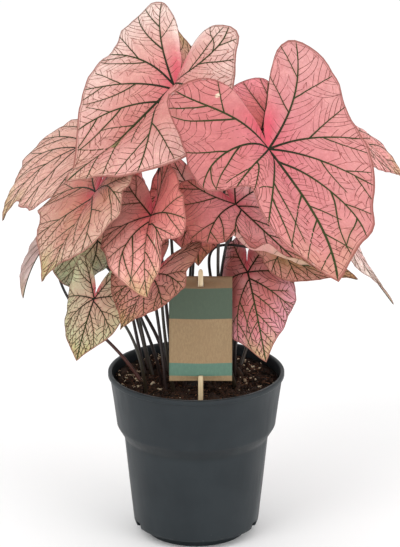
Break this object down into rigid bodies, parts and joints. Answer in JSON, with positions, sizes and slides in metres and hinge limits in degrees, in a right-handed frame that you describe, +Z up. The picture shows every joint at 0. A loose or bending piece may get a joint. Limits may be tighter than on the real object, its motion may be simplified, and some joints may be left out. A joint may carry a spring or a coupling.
{
  "type": "potted caladium",
  "caption": "Pink caladium with heart-shaped, dark-veined leaves in a dark nursery pot, with a card on a flat wooden stick.",
  "frame": {"origin": "middle of the pot's foot, on the floor", "axes": "+Z up, -Y to the front, where the card faces, +X to the right seen from the front"},
  "size_m": [0.3169, 0.2768, 0.4301],
  "materials": {
    "pot_plastic": "satin",
    "soil": "matte",
    "tuber": "matte",
    "leaf": "satin",
    "stalk": "satin",
    "card": "matte",
    "stick": "matte"
  },
  "bodies": {
    "root": {"pot": "pot_plastic", "soil": "soil", "tuber_1": "tuber", "tuber_2": "tuber", "tag_card": "card", "tag_stick": "stick", "leaf_01_blade": "leaf", "leaf_01_stalk": "stalk", "leaf_02_blade": "leaf", "leaf_02_stalk": "stalk", "leaf_03_blade": "leaf", "leaf_03_stalk": "stalk", "leaf_04_blade": "leaf", "leaf_04_stalk": "stalk", "leaf_05_blade": "leaf", "leaf_05_stalk": "stalk", "leaf_06_blade": "leaf", "leaf_06_stalk": "stalk", "leaf_07_blade": "leaf", "leaf_07_stalk": "stalk", "leaf_08_blade": "leaf", "leaf_08_stalk": "stalk", "leaf_09_blade": "leaf", "leaf_09_stalk": "stalk", "leaf_10_blade": "leaf", "leaf_10_stalk": "stalk", "leaf_11_blade": "leaf", "leaf_11_stalk": "stalk", "leaf_12_blade": "leaf", "leaf_12_stalk": "stalk", "leaf_13_blade": "leaf", "leaf_13_stalk": "stalk", "leaf_14_blade": "leaf", "leaf_14_stalk": "stalk", "leaf_15_blade": "leaf", "leaf_15_stalk": "stalk", "leaf_16_blade": "leaf", "leaf_16_stalk": "stalk", "leaf_17_blade": "leaf", "leaf_17_stalk": "stalk", "leaf_18_blade": "leaf", "leaf_18_stalk": "stalk", "leaf_19_blade": "leaf", "leaf_19_stalk": "stalk", "leaf_20_blade": "leaf", "leaf_20_stalk": "stalk", "leaf_21_blade": "leaf", "leaf_21_stalk": "stalk", "leaf_22_blade": "leaf", "leaf_22_stalk": "stalk", "leaf_23_blade": "leaf", "leaf_23_stalk": "stalk"}
  },
  "joints": []
}
